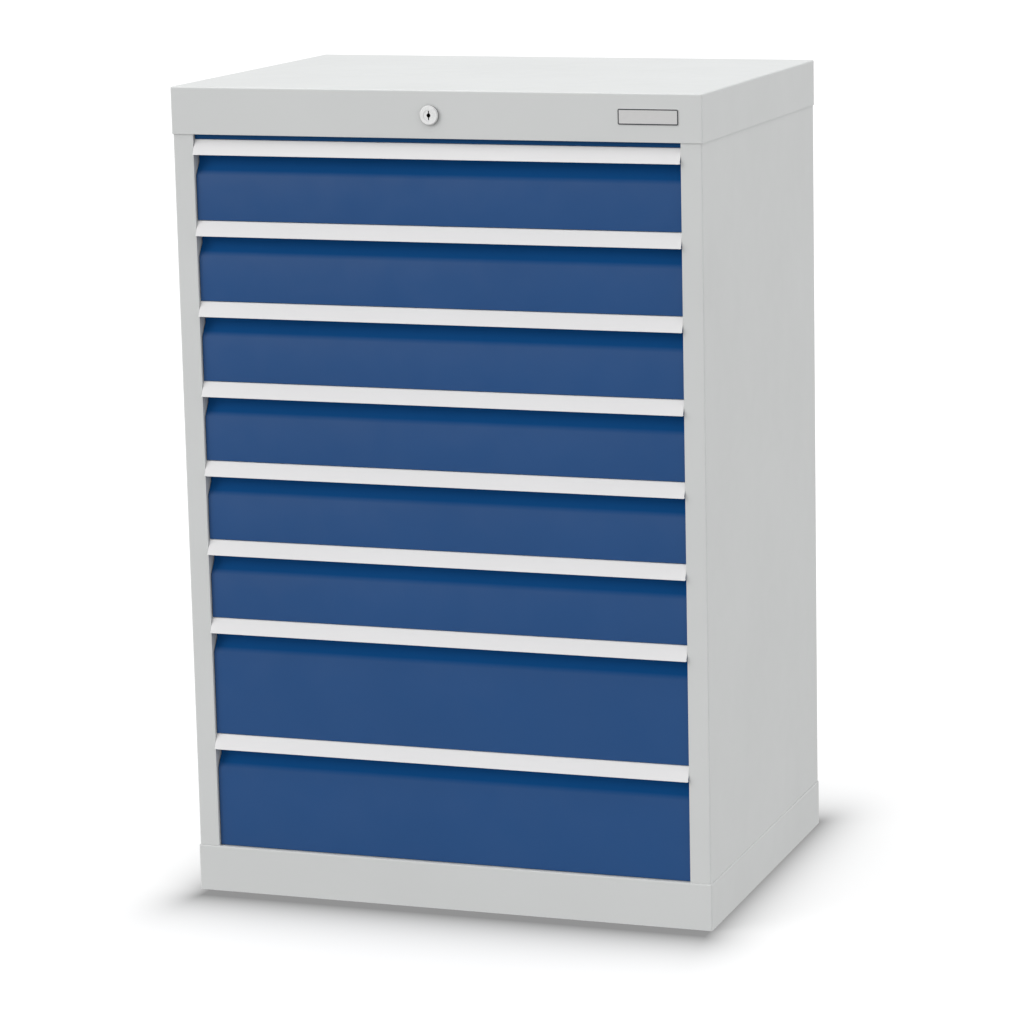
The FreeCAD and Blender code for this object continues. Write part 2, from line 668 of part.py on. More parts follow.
def make_locking_bar():
    """Flat bar behind the drawers with one tooth over each drawer's catch."""
    half = "(bar_width / 2)"
    bar = block("bar_strip", (f"{BAR_MIDDLE} - {half}", f"{BAR_MIDDLE} + {half}"),
                (BAR_FRONT, f"{BAR_FRONT} + bar_thickness"),
                ("base_height + bar_foot",
                 f"{LOCK_HEIGHT} + crank_radius + crank_pin_radius + bar_thickness"))
    pin_z = f"({LOCK_HEIGHT} + {CRANK_RISE})"
    slot = block("bar_slot",
                 (f"lock_offset + {CRANK_SIDE} - crank_pin_radius - pin_play",
                  "lock_offset + crank_radius + crank_pin_radius + pin_play"),
                 (f"{BAR_FRONT} - {OVERSHOOT}", f"{BAR_FRONT} + bar_thickness + {OVERSHOOT}"),
                 (f"{pin_z} - crank_pin_radius - pin_play",
                  f"{pin_z} + crank_pin_radius + pin_play"))
    pieces = [cut("bar_slotted", bar, slot)]
    tooth_x = (f"{BAR_MIDDLE} - tooth_width / 2", f"{BAR_MIDDLE} + tooth_width / 2")
    for drawer in DRAWERS:
        tip = f"({catch_height(drawer)} + catch_lip + catch_gap)"
        shoulder = f"({tip} + {BAR_TRAVEL} + bar_thickness)"
        pieces.append(block(f"tooth_{drawer}_arm", tooth_x, (TOOTH_FRONT, BAR_FRONT),
                            (f"{shoulder} - bar_thickness", shoulder)))
        pieces.append(block(f"tooth_{drawer}_tip", tooth_x,
                            (TOOTH_FRONT, f"{TOOTH_FRONT} + bar_thickness"), (tip, shoulder)))
    return finish("locking_bar", fuse("bar_joined", *pieces))


# ---------------------------------------------------------------------------
# Drawers
# ---------------------------------------------------------------------------
# The sloping wall of the recess is folded, so its inner face sits lower by this much.
SLOPE_SHIFT = ("(front_sheet * tan(atan((recess_back - front_setback)"
               " / (recess_toe - recess_end)) / 2))")
LAP = "(handle_drop - front_gap)"        # slot top to the sheet edge above a handle


def front_bottom(drawer):
    """The last front ends just over the base, the others just over the next handle."""
    if drawer == DRAWERS[-1]:
        return f"-(pitch_{drawer} + sill_gap - front_gap)"
    return f"-(pitch_{drawer} + {LAP})"


def make_front(drawer):
    """A strip that is the recess's upright wall, welded along a bend to the face sheet.

    The strip folds back over the box; on the first drawer it makes a band instead.
    """
    face, wall = "front_setback", "recess_back"
    inner_face, inner_wall = "(front_setback + front_sheet)", "(recess_back + front_sheet)"
    bottom = front_bottom(drawer)
    bend_outside, bend_inside = (wall, "-recess_end"), (inner_wall, f"-recess_end - {SLOPE_SHIFT}")
    if drawer == DRAWERS[0]:
        strip_corners = [
            (wall, "-front_gap - front_sheet"), (wall, "-front_gap"), (face, "-front_gap"),
            (face, minus(LAP)), (wall, minus(LAP)), bend_outside, bend_inside,
            (inner_wall, f"front_sheet - {LAP}"), (inner_face, f"front_sheet - {LAP}"),
            (inner_face, "-front_gap - front_sheet"),
        ]
    else:
        strip_corners = [
            (f"{wall} + front_fold", "-handle_drop - front_sheet"),
            (f"{wall} + front_fold", "-handle_drop"), (wall, "-handle_drop"),
            bend_outside, bend_inside, (inner_wall, "-handle_drop - front_sheet"),
        ]
    face_corners = [
        bend_inside, bend_outside, (face, "-recess_toe"), (face, bottom),
        (f"{face} + front_fold", bottom), (f"{face} + front_fold", f"{bottom} + front_sheet"),
        (inner_face, f"{bottom} + front_sheet"), (inner_face, f"-recess_toe - {SLOPE_SHIFT}"),
    ]
    width = f"2 * ({HALF_OPENING} - side_gap)"
    sheets = [prism(f"front_{drawer}_{name}", "YZ_Plane", corners, width, midplane=True,
                    z=slot_top(drawer))
              for name, corners in (("strip", strip_corners), ("face", face_corners))]
    return finish(f"drawer_{drawer}_front", group(f"front_{drawer}", sheets))


HANDLE_RUN = "(handle_top + handle_proud)"               # how far the face slopes out
HANDLE_TILT = f"atan({HANDLE_RUN} / handle_height)"      # slope from upright


def make_handle(drawer):
    """Extruded grip: a sloping face, a leg fixed to the recess and a lip below."""
    seat = "handle_drop"
    low = f"({seat} + handle_height)"
    # The inner side of the sloping face, level with the seat and with the lip.
    across = f"(handle_wall / cos({HANDLE_TILT}))"
    top_corner = (f"handle_top + handle_wall * tan((90deg - {HANDLE_TILT}) / 2)",
                  f"-{seat} - handle_wall")
    lip_corner = (f"{across} - handle_proud + handle_wall * tan({HANDLE_TILT})",
                  f"handle_wall - {low}")
    corners = [
        ("-handle_proud", minus(low)), ("handle_top", minus(seat)), ("recess_back", minus(seat)),
        ("recess_back", f"-{seat} - handle_leg"),
        ("recess_back - handle_wall", f"-{seat} - handle_leg"),
        ("recess_back - handle_wall", f"-{seat} - handle_wall"), top_corner, lip_corner,
        ("handle_lip - handle_proud", f"handle_wall - {low}"),
        ("handle_lip - handle_proud", minus(low)),
    ]
    body = prism(f"handle_{drawer}", "YZ_Plane", corners, f"2 * ({HALF_OPENING} - handle_gap)",
                 midplane=True, z=slot_top(drawer))
    return finish(f"drawer_{drawer}_handle", body)


def make_box(drawer):
    """Drawer box: a tray of sheet, open at the top."""
    height = f"(pitch_{drawer} - box_rise - box_headroom)"
    body = doc.addObject("PartDesign::Body", f"box_{drawer}")
    outer = new_sketch(body, f"box_{drawer}_outer", "XY_Plane")
    draw_outline(outer, rectangle((minus(RAIL_INNER), BOX_FRONT), (RAIL_INNER, BOX_BACK)))
    pad(body, outer, f"box_{drawer}_block", height)
    inner = new_sketch(body, f"box_{drawer}_inner", "XY_Plane")
    inside = f"({RAIL_INNER} - box_sheet)"
    draw_outline(inner, rectangle((minus(inside), f"{BOX_FRONT} + box_sheet"),
                                  (inside, f"{BOX_BACK} - box_sheet")))
    inner.setExpression("AttachmentOffset.Base.z", bound("box_sheet"))
    pocket(body, inner, f"box_{drawer}_hollow", height, upwards=True)
    place(body, "0", FRONT, box_bottom(drawer))
    return finish(f"drawer_{drawer}_box", body)


def make_drawer_rails(drawer):
    """Rails welded to the box's sides, and the catch on its back wall."""
    rail = channel(f"drawer_rail_{drawer}", RAIL_INNER, f"({RAIL_INNER} + rail_reach)",
                   drawer, f"({BOX_BACK} - {RAIL_FRONT})")
    across = (f"{BAR_MIDDLE} - tooth_width / 2", f"{BAR_MIDDLE} + tooth_width / 2")
    level = catch_height(drawer)
    strap = block(f"catch_{drawer}_strap", across,
                  (BOX_BACK, f"{CATCH_LIP_FRONT} + bar_thickness"),
                  (level, f"{level} + bar_thickness"))
    lip = block(f"catch_{drawer}_lip", across,
                (CATCH_LIP_FRONT, f"{CATCH_LIP_FRONT} + bar_thickness"),
                (level, f"{level} + catch_lip"))
    pieces = [rail, mirror(f"drawer_rail_{drawer}_left", rail),
              fuse(f"catch_{drawer}", strap, lip)]
    return finish(f"drawer_{drawer}_rails", group(f"drawer_rail_set_{drawer}", pieces))


ROLLER_RADIUS = "(rail_height / 2 - rail_sheet - roller_play)"
PLATE_INNER = f"({PLATE_MIDDLE} - middle_sheet / 2)"
PLATE_OUTER = f"({PLATE_MIDDLE} + middle_sheet / 2)"


def roller_places():
    """Inner rollers carry the drawer rail, outer ones run in the cabinet rail.

    Each pair stays inside its rail over the whole travel: the inner pair sits at
    the front of the middle rail and the outer pair at its back.
    """
    front = f"({MIDDLE_FRONT} + roller_margin)"
    back = f"({MIDDLE_BACK} - roller_margin)"
    inner_face = f"({RAIL_INNER} + rail_sheet + roller_side_play)"
    outer_face = f"({RAIL_OUTER} - rail_sheet - roller_side_play)"
    inner = (inner_face, f"({PLATE_INNER} - roller_side_play)")
    outer = (f"({PLATE_OUTER} + roller_side_play)", outer_face)
    return [("inner_front", inner, front), ("inner_back", inner, f"{front} + roller_spacing"),
            ("outer_front", outer, f"{back} - roller_spacing"), ("outer_back", outer, back)]


def make_middle_rails(drawer):
    """Flat runner between the two rails, with its four axle studs."""
    level = rail_height_at(drawer)
    plate = block(f"middle_{drawer}_plate", (PLATE_INNER, PLATE_OUTER),
                  (MIDDLE_FRONT, MIDDLE_BACK),
                  (f"{level} - middle_height / 2", f"{level} + middle_height / 2"))
    studs = []
    for name, (low, high), spot in roller_places():
        tip = ((low, PLATE_INNER) if name.startswith("inner") else (PLATE_OUTER, high))
        studs.append(rod(f"middle_{drawer}_{name}_axle", "x", "axle_radius", *tip,
                         y=spot, z=level))
    runner = fuse(f"middle_{drawer}_runner", plate, *studs)
    return mirrored_pair(f"middle_{drawer}_rails", runner)


def make_rollers(drawer):
    level = rail_height_at(drawer)
    rings = []
    for name, (low, high), spot in roller_places():
        tag = f"roller_{drawer}_{name}"
        disc = rod(tag + "_disc", "x", ROLLER_RADIUS, low, high, y=spot, z=level)
        bore = rod(tag + "_bore", "x", "axle_radius + running_gap", f"{low} - {OVERSHOOT}",
                   f"{high} + {OVERSHOOT}", y=spot, z=level)
        rings.append(cut(tag, disc, bore))
    return mirrored_pair(f"middle_{drawer}_rollers", group(f"roller_set_{drawer}", rings))


# ---------------------------------------------------------------------------
# Build, check and write
# ---------------------------------------------------------------------------
make_base()
make_cover()
make_sides()
make_back()
make_uprights()
make_cabinet_rails()
make_screws()
make_name_plate()
make_lock()
make_lock_shaft()
make_locking_bar()
for drawer_number in DRAWERS:
    make_front(drawer_number)
    make_handle(drawer_number)
    make_box(drawer_number)
    make_drawer_rails(drawer_number)
    make_middle_rails(drawer_number)
    make_rollers(drawer_number)
doc.recompute()

for item in doc.Objects:
    if "Invalid" in item.State or "Error" in item.State:
        raise RuntimeError(f"{item.Label} failed: {item.State}")
for node, item in finished.items():
    if item.Shape.isNull() or not item.Shape.isValid() or not item.Shape.Solids:
        raise RuntimeError(f"{node} has no valid solid")

os.makedirs("parts", exist_ok=True)
for node, item in finished.items():
    item.Shape.exportStep(f"parts/{node}.step")
print(len(finished), "nodes,", sum(len(item.Shape.Solids) for item in finished.values()), "solids")
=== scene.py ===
from math import cos, pi, radians, sin

import bmesh
import bpy
from mathutils import Matrix, Vector


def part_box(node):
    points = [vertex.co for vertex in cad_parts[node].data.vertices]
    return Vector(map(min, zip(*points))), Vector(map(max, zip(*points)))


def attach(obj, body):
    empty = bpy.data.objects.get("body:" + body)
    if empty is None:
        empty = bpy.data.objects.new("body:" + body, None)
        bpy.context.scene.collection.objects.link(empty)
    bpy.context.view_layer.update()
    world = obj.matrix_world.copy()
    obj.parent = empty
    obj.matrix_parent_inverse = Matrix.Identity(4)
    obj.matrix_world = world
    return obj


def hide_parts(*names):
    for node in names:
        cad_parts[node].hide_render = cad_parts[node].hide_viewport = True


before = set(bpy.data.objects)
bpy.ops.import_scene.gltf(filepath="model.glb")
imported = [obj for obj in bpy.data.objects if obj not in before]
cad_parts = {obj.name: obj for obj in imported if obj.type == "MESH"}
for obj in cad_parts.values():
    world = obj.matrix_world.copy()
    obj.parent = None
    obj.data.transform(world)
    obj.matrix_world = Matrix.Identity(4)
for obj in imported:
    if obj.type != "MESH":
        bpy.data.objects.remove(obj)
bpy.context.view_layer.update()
MM = 0.001


# ---------------------------------------------------------------------------
# Top cover
# A shallow tray of 1.25 mm sheet steel, folded at its edges and set over the
# cabinet upside down. Light grey powder coat with a fine orange-peel skin; its
# folds and cut edges take a lighter grey, a painted highlight.
# ---------------------------------------------------------------------------
def feed(tree, socket, value):
    """Gives an input another node's output or a plain value; None leaves it as it is."""
    if isinstance(value, bpy.types.NodeSocket):
        tree.links.new(value, socket)
    elif value is not None:
        socket.default_value = value


def add_node(tree, kind, settings=None, **inputs):
    """Adds a node with its settings, and feeds the inputs that are named."""
    made = tree.nodes.new(kind)
    for setting, value in (settings or {}).items():
        setattr(made, setting, value)
    for socket_name, value in inputs.items():
        feed(tree, made.inputs[socket_name.replace("_", " ")], value)
    return made


def number_step(tree, operation, first, second=None):
    """One step of arithmetic on sockets or numbers."""
    made = add_node(tree, "ShaderNodeMath", {"operation": operation})
    feed(tree, made.inputs[0], first)
    feed(tree, made.inputs[1], second)
    return made.outputs[0]


def into_scene(name, data):
    """Puts an object that holds a mesh, a lamp or a camera into the scene."""
    made = bpy.data.objects.new(name, data)
    bpy.context.scene.collection.objects.link(made)
    return made


def new_effect(name, inputs, outputs):
    """An empty shader node group with float and vector sockets."""
    tree = bpy.data.node_groups.new(name, "ShaderNodeTree")
    for socket_name, kind, value in inputs:
        socket = tree.interface.new_socket(name=socket_name, in_out="INPUT", socket_type=kind)
        if value is not None:
            socket.default_value = value
    for socket_name in outputs:
        tree.interface.new_socket(name=socket_name, in_out="OUTPUT", socket_type="NodeSocketFloat")
    return tree, tree.nodes.new("NodeGroupInput").outputs, tree.nodes.new("NodeGroupOutput").inputs


NOISE_LOW, NOISE_HIGH = 0.3, 0.7


def spread(tree, value, low, high, least=NOISE_LOW, most=NOISE_HIGH):
    """Maps a value, by default the useful middle of a noise, onto low to high."""
    made = add_node(tree, "ShaderNodeMapRange", Value=value, From_Min=least, From_Max=most,
                    To_Min=low, To_Max=high)
    return made.outputs["Result"]


coat_skin, given, result = new_effect(
    "powder coat skin",
    [("Place", "NodeSocketVector", None), ("Grains per Metre", "NodeSocketFloat", 700.0),
     ("Mottle", "NodeSocketFloat", 0.02), ("Roughness Low", "NodeSocketFloat", 0.4),
     ("Roughness High", "NodeSocketFloat", 0.5)],
    ["Height", "Tone", "Roughness"])
grains = add_node(coat_skin, "ShaderNodeTexNoise", Vector=given["Place"],
                  Scale=given["Grains per Metre"], Detail=2.0, Roughness=0.45)
clouds = add_node(coat_skin, "ShaderNodeTexNoise", Vector=given["Place"], Scale=5.0, Detail=3.0)
smears = add_node(coat_skin, "ShaderNodeTexNoise", Vector=given["Place"], Scale=23.0, Detail=4.0,
                  Distortion=0.6)
darkest = number_step(coat_skin, "SUBTRACT", 1.0, given["Mottle"])
coat_skin.links.new(grains.outputs["Fac"], result["Height"])
coat_skin.links.new(spread(coat_skin, clouds.outputs["Fac"], darkest, 1.0), result["Tone"])
coat_skin.links.new(spread(coat_skin, smears.outputs["Fac"], given["Roughness Low"],
                           given["Roughness High"]), result["Roughness"])


def new_finish(name):
    """A node material with only its Principled shader and the object's coordinates."""
    finish = bpy.data.materials.new(name)
    finish.use_nodes = True
    shader = finish.node_tree.nodes["Principled BSDF"]
    place = finish.node_tree.nodes.new("ShaderNodeTexCoord").outputs["Object"]
    return finish, finish.node_tree, shader, place


def toned(tree, colour, tone):
    """The colour multiplied by a tone that changes over the surface."""
    mix = add_node(tree, "ShaderNodeMix", {"data_type": "RGBA", "blend_type": "MULTIPLY"},
                   Factor=1.0)
    feed(tree, mix.inputs[6], (*colour, 1.0))
    feed(tree, mix.inputs[7], tone)
    return mix.outputs[2]


SKIN_RELIEF = 0.2 * MM


def powder_coat(name, colour, roughness, specular=0.3, mottle=0.03, grain=700.0, depth=0.06):
    """Powder coat: orange-peel skin, faint mottling and smears in its gloss."""
    finish, tree, shader, place = new_finish(name)
    skin = add_node(tree, "ShaderNodeGroup", {"node_tree": coat_skin}, Place=place,
                    Grains_per_Metre=grain, Mottle=mottle, Roughness_Low=roughness - 0.04,
                    Roughness_High=roughness + 0.06)
    bump = add_node(tree, "ShaderNodeBump", Height=skin.outputs["Height"], Strength=depth,
                    Distance=SKIN_RELIEF)
    tree.links.new(toned(tree, colour, skin.outputs["Tone"]), shader.inputs["Base Color"])
    tree.links.new(skin.outputs["Roughness"], shader.inputs["Roughness"])
    tree.links.new(bump.outputs["Normal"], shader.inputs["Normal"])
    shader.inputs["Specular IOR Level"].default_value = specular
    return finish


def linear(*srgb):
    """Screen colour (0 to 255) as the linear colour that shaders use."""
    return tuple(((level / 255 + 0.055) / 1.055) ** 2.4 for level in srgb)


WELD_GAP = 0.01 * MM
FLAT_ANGLE = radians(0.5)
SHARP_ANGLE = radians(35)
SHEET_ROUNDING = 0.3 * MM
SOFT_ROUNDING = 0.55 * MM


def softened(node, name, finishes, edge=SHEET_ROUNDING, keep=None):
    """A welded copy of a solid with rounded edges, which take the last of its finishes."""
    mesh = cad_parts[node].data.copy()
    mesh.name = name
    if "custom_normal" in mesh.attributes:
        mesh.attributes.remove(mesh.attributes["custom_normal"])
    work = bmesh.new()
    work.from_mesh(mesh)
    bmesh.ops.remove_doubles(work, verts=work.verts, dist=WELD_GAP)
    if keep:
        unwanted = [face for face in work.faces if not keep(face.calc_center_median())]
        bmesh.ops.delete(work, geom=unwanted, context="FACES")
    bmesh.ops.dissolve_limit(work, angle_limit=FLAT_ANGLE, verts=work.verts, edges=work.edges)
    shared = [face for face in work.faces if all(len(edge.link_faces) > 2 for edge in face.edges)]
    bmesh.ops.delete(work, geom=shared, context="FACES_ONLY")
    bmesh.ops.dissolve_limit(work, angle_limit=FLAT_ANGLE, verts=work.verts, edges=work.edges)
    for face in work.faces:
        face.smooth = True
        face.material_index = 0
    work.to_mesh(mesh)
    work.free()
    mesh.materials.clear()
    for finish in finishes:
        mesh.materials.append(finish)
    piece = into_scene(name, mesh)
    rounding = piece.modifiers.new("rounded edges", "BEVEL")
    rounding.width = edge
    rounding.segments = 2
    rounding.limit_method = "ANGLE"
    rounding.angle_limit = SHARP_ANGLE
    rounding.material = len(finishes) - 1
    evening = piece.modifiers.new("flat faces stay flat", "WEIGHTED_NORMAL")
    evening.keep_sharp = True
    return piece


def stand_for(piece, body, slot, *nodes):
    """Hangs a piece on the body it moves with and hides the nodes it stands for; slot is not used.
    """
    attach(piece, body)
    if nodes:
        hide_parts(*nodes)
    return piece


BODY_GREY = linear(203, 204, 203)
# Painted highlight: the grey sheets' rounded folds and edges take this lighter grey.
BODY_EDGE_HIGHLIGHT_GREY = linear(214, 215, 214)
body_coat = powder_coat("light grey powder coat", BODY_GREY, 0.48)
body_edge_highlight = powder_coat("light grey powder coat with painted highlight on folds", BODY_EDGE_HIGHLIGHT_GREY, 0.4)
stand_for(softened("top_cover", "cover_sheet", [body_coat, body_edge_highlight], SOFT_ROUNDING),
          "carcass", "body_paint", "top_cover")


# ---------------------------------------------------------------------------
# Base, side panels and back panel
# Folded from the same sheet, coated the same grey, and hooked together. The
# sides stand a sheet's thickness inside the cover and the base. Painted shade
# darkens the base's ledge and floor where they face upwards.
# ---------------------------------------------------------------------------
UPWARD_SHADE_TONE = 0.76
UPWARD_SHADE_STARTS, UPWARD_SHADE_FULL = 0.2, 0.9


def tint(finish, strength):
    """Multiplies a finish's colour by a varying strength."""
    tree = finish.node_tree
    colour = tree.nodes["Principled BSDF"].inputs["Base Color"]
    tinted = add_node(tree, "ShaderNodeVectorMath", {"operation": "SCALE"},
                      Vector=colour.links[0].from_socket, Scale=strength)
    tree.links.new(tinted.outputs["Vector"], colour)


def shaded_upwards(finish):
    """Darkens a finish on faces that look upwards: painted shade."""
    tree = finish.node_tree
    facing = add_node(tree, "ShaderNodeSeparateXYZ",
                      Vector=tree.nodes["Texture Coordinate"].outputs["Normal"]).outputs["Z"]
    tint(finish, spread(tree, facing, 1.0, UPWARD_SHADE_TONE, UPWARD_SHADE_STARTS, UPWARD_SHADE_FULL))
    return finish


# Painted shade on the base's upward faces; the base's rounded folds also keep the painted
# highlight.
base_coat = shaded_upwards(powder_coat("light grey powder coat on the base", BODY_GREY, 0.48))
base_edge_highlight = shaded_upwards(powder_coat("light grey powder coat on the base's folds", BODY_EDGE_HIGHLIGHT_GREY, 0.4))
stand_for(softened("base_plinth", "base_plinth_sheet", [base_coat, base_edge_highlight]),
          "carcass", "body_paint", "base_plinth")
for node in ("side_panels", "back_panel"):
    stand_for(softened(node, node + "_sheet", [body_coat, body_edge_highlight]),
              "carcass", "body_paint", node)


# ---------------------------------------------------------------------------
# Slotted uprights and cabinet rails
# Roll-formed zinc-plated strip: the uprights are slotted for the rails' hooks
# and screwed inside the side panels. Grey metal with a faint crystal bloom.
# ---------------------------------------------------------------------------
plating, given, result = new_effect(
    "zinc bloom",
    [("Place", "NodeSocketVector", None), ("Spangles per Metre", "NodeSocketFloat", 160.0),
     ("Roughness Low", "NodeSocketFloat", 0.3), ("Roughness High", "NodeSocketFloat", 0.45)],
    ["Tone", "Roughness", "Height"])
spangles = add_node(plating, "ShaderNodeTexVoronoi", Vector=given["Place"],
                    Scale=given["Spangles per Metre"])
mist = add_node(plating, "ShaderNodeTexNoise", Vector=given["Place"], Scale=40.0, Detail=5.0)
drawn = add_node(plating, "ShaderNodeMapping", Vector=given["Place"], Scale=(1.0, 0.04, 1.0))
lines = add_node(plating, "ShaderNodeTexNoise", Vector=drawn.outputs["Vector"], Scale=2500.0,
                 Detail=1.0)
grey = add_node(plating, "ShaderNodeSeparateColor", Color=spangles.outputs["Color"])
plating.links.new(spread(plating, grey.outputs["Red"], 0.9, 1.0, 0.0, 1.0), result["Tone"])
plating.links.new(spread(plating, mist.outputs["Fac"], given["Roughness Low"],
                         given["Roughness High"]), result["Roughness"])
plating.links.new(lines.outputs["Fac"], result["Height"])


DRAWN_RELIEF = 0.1 * MM


def plated_metal(name, colour, low, high, spangle=160.0, depth=0.03):
    """Plated metal: bloom in its tone, drawing lines in its height."""
    finish, tree, shader, place = new_finish(name)
    bloomed = add_node(tree, "ShaderNodeGroup", {"node_tree": plating}, Place=place,
                       Spangles_per_Metre=spangle, Roughness_Low=low, Roughness_High=high)
    bump = add_node(tree, "ShaderNodeBump", Height=bloomed.outputs["Height"], Strength=depth,
                    Distance=DRAWN_RELIEF)
    tree.links.new(toned(tree, colour, bloomed.outputs["Tone"]), shader.inputs["Base Color"])
    tree.links.new(bloomed.outputs["Roughness"], shader.inputs["Roughness"])
    tree.links.new(bump.outputs["Normal"], shader.inputs["Normal"])
    shader.inputs["Metallic"].default_value = 1.0
    return finish


def coat_node(node, finish):
    """Gives a solid that stays as it is its finish."""
    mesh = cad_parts[node].data
    mesh.materials.clear()
    mesh.materials.append(finish)


zinc = plated_metal("zinc plated steel", linear(196, 199, 202), 0.34, 0.46)
for node in ("slotted_uprights", "cabinet_rails"):
    coat_node(node, zinc)


# ---------------------------------------------------------------------------
# Panel screws and lock nut
# Ten pan-head screws with cross recesses hold the back panel to the sides'
# flanges, five down each edge. The hexagon nut clamps the lock from inside.
# ---------------------------------------------------------------------------
SCREW_COUNT = 5
SCREW_TURN = 0.9
HEAD_RADIUS = 4 * MM
HEAD_HEIGHT = 1 * MM
SHANK_RADIUS = 2 * MM
SHANK_LENGTH = 7 * MM
POINT_LENGTH = 1 * MM
CROSS_REACH = 2.3 * MM
CROSS_HALF_WIDTH = 0.45 * MM
CROSS_FLOOR = 0.2 * MM
CROSS_TOP = 2 * MM
NUT_ZONE = 100 * MM


def set_inputs(modifier, **values):
    """Sets a node modifier's inputs, found by name, through their identifiers."""
    by_name = {item.name: item.identifier for item in modifier.node_group.interface.items_tree
               if item.item_type == "SOCKET" and item.in_out == "INPUT"}
    for input_name, value in values.items():
        modifier[by_name[input_name.replace("_", " ")]] = value


def plain_mesh(piece, name):
    """The mesh that a piece's modifiers make, with the piece itself removed."""
    bpy.context.view_layer.update()
    ready = piece.evaluated_get(bpy.context.evaluated_depsgraph_get())
    mesh = bpy.data.meshes.new_from_object(ready)
    mesh.name = name
    bpy.data.objects.remove(piece)
    return mesh


def filled_mesh(work, name, *finishes):
    """Ends a bmesh as a mesh with its finishes."""
    mesh = bpy.data.meshes.new(name)
    work.to_mesh(mesh)
    work.free()
    for finish in finishes:
        mesh.materials.append(finish)
    return mesh


def add_group_inputs(tree, kind, *names):
    """Gives a node group inputs of one kind."""
    for socket_name in names:
        tree.interface.new_socket(name=socket_name, in_out="INPUT", socket_type=kind)


def joined(tree, *parts):
    """Several geometries as one."""
    made = tree.nodes.new("GeometryNodeJoinGeometry")
    for part in parts:
        tree.links.new(part, made.inputs["Geometry"])
    return made.outputs["Geometry"]


def end_group(tree, geometry, finish):
    """Makes instances real, coats them and hands them out of the node group."""
    tree.interface.new_socket(name="Geometry", in_out="OUTPUT", socket_type="NodeSocketGeometry")
    real = add_node(tree, "GeometryNodeRealizeInstances", Geometry=geometry)
    coated = add_node(tree, "GeometryNodeSetMaterial", Geometry=real.outputs["Geometry"],
                      Material=finish)
    tree.links.new(coated.outputs["Geometry"],
                   tree.nodes.new("NodeGroupOutput").inputs["Geometry"])


def turned(profile, name, sides=32):
    """A solid of revolution round Z from (radius, height) points that start and end on the axis."""
    work = bmesh.new()
    rings = []
    for radius, height in profile:
        if radius == 0:
            rings.append([work.verts.new((0, 0, height))])
        else:
            rings.append([work.verts.new((radius * cos(2 * pi * k / sides),
                                          radius * sin(2 * pi * k / sides), height))
                          for k in range(sides)])
    for below, above in zip(rings, rings[1:]):
        for k in range(sides):
            corners = [below[k % len(below)], below[(k + 1) % len(below)],
                       above[(k + 1) % len(above)], above[k % len(above)]]
            work.faces.new(list(dict.fromkeys(corners)))
    bmesh.ops.recalc_face_normals(work, faces=work.faces)
    return into_scene(name, filled_mesh(work, name))


def slab(work, low, high):
    """Adds a rectangular block between two corners to a bmesh."""
    made = bmesh.ops.create_cube(work, size=1.0)["verts"]
    middle = (Vector(low) + Vector(high)) / 2
    span = Vector(high) - Vector(low)
    bmesh.ops.scale(work, vec=span, verts=made)
    bmesh.ops.translate(work, vec=middle, verts=made)


screw = turned([(0, -SHANK_LENGTH), (SHANK_RADIUS * 0.6, -SHANK_LENGTH),
                (SHANK_RADIUS, POINT_LENGTH - SHANK_LENGTH), (SHANK_RADIUS, 0), (HEAD_RADIUS, 0),
                (HEAD_RADIUS, HEAD_HEIGHT * 0.35), (HEAD_RADIUS * 0.9, HEAD_HEIGHT * 0.72),
                (HEAD_RADIUS * 0.62, HEAD_HEIGHT * 0.95), (0, HEAD_HEIGHT)], "screw")
cross = bmesh.new()
for reach_x, reach_y in ((CROSS_REACH, CROSS_HALF_WIDTH), (CROSS_HALF_WIDTH, CROSS_REACH)):
    slab(cross, (-reach_x, -reach_y, CROSS_FLOOR), (reach_x, reach_y, CROSS_TOP))
cutter = into_scene("screw_cross", filled_mesh(cross, "screw_cross"))
recess = screw.modifiers.new("cross recess", "BOOLEAN")
recess.operation = "DIFFERENCE"
recess.solver = "EXACT"
recess.use_self = True
recess.object = cutter
screw_mesh = plain_mesh(screw, "screw_with_recess")
bpy.data.objects.remove(cutter)
screw = into_scene("screw_with_recess", screw_mesh)

screw_rows = bpy.data.node_groups.new("rows of screws", "GeometryNodeTree")
add_group_inputs(screw_rows, "NodeSocketObject", "Screw")
add_group_inputs(screw_rows, "NodeSocketInt", "Count")
add_group_inputs(screw_rows, "NodeSocketVector", "Row Start", "Row Step", "Row Spacing", "Turn")
add_group_inputs(screw_rows, "NodeSocketMaterial", "Finish")
given = screw_rows.nodes.new("NodeGroupInput").outputs
row = add_node(screw_rows, "GeometryNodeMeshLine", Count=given["Count"],
               Start_Location=given["Row Start"], Offset=given["Row Step"])
moved = add_node(screw_rows, "GeometryNodeTransform", Geometry=row.outputs["Mesh"],
                 Translation=given["Row Spacing"])
rows = joined(screw_rows, row.outputs["Mesh"], moved.outputs["Geometry"])
shape = add_node(screw_rows, "GeometryNodeObjectInfo", Object=given["Screw"])
angle = add_node(screw_rows, "FunctionNodeRandomValue", {"data_type": "FLOAT"}, Seed=7)
angle.inputs[2].default_value = -SCREW_TURN
angle.inputs[3].default_value = SCREW_TURN
spin = add_node(screw_rows, "ShaderNodeCombineXYZ", Z=angle.outputs[1])
set_down = add_node(screw_rows, "GeometryNodeInstanceOnPoints", Points=rows,
                    Instance=shape.outputs["Geometry"], Rotation=given["Turn"])
spun = add_node(screw_rows, "GeometryNodeRotateInstances", Instances=set_down.outputs["Instances"],
                Rotation=spin.outputs["Vector"])
end_group(screw_rows, spun.outputs["Instances"], given["Finish"])

